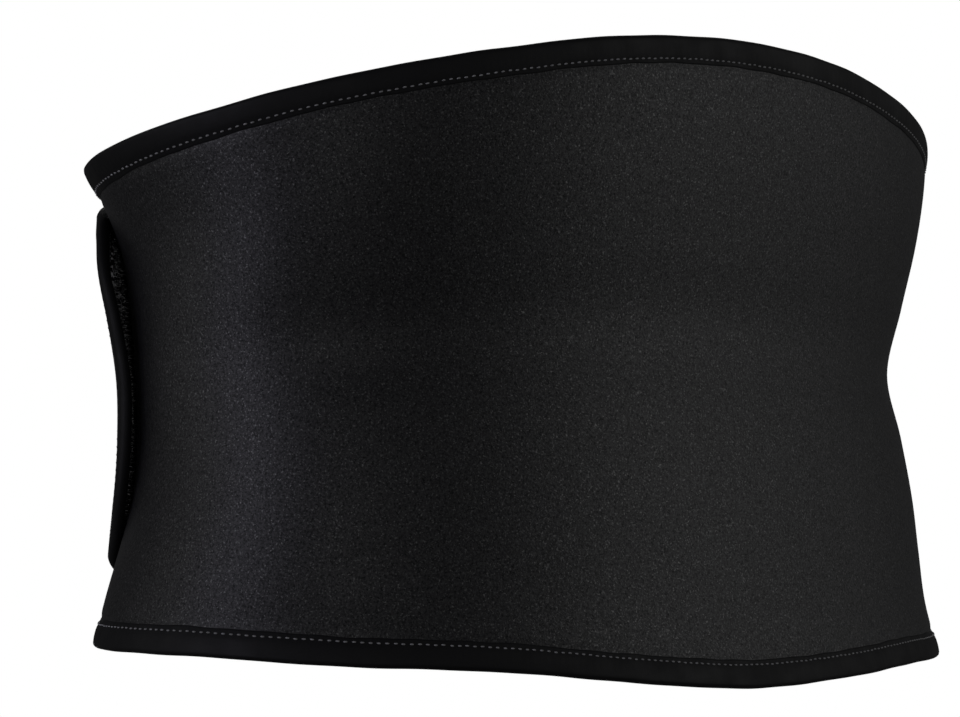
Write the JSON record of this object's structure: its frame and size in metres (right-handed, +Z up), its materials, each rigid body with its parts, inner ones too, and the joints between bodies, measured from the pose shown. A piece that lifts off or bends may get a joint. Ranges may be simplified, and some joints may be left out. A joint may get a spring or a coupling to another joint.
{
  "type": "back support belt",
  "caption": "Contoured wrap-round back support belt of bound neoprene, tall at the back and narrower in front, closed by hook tape as it is worn.",
  "frame": {"origin": "middle of the opening, level with the waist, the narrowest part of the belt", "axes": "+Z up along the torso, +X to the wearer's left, +Y to the wearer's back, closure at -Y and +X"},
  "size_m": [0.3424, 0.1929, 0.2059],
  "materials": {
    "jersey": "black brushed nylon jersey laminated to neoprene foam",
    "binding": "black elastic binding tape, smooth and slightly lustrous",
    "hooks": "black nylon hook tape with glossy hooks"
  },
  "bodies": {
    "root": {"neoprene_panel": "jersey", "top_binding": "binding", "bottom_binding": "binding", "flap_end_binding": "binding", "under_end_binding": "binding", "hook_tape": "hooks"}
  },
  "joints": []
}
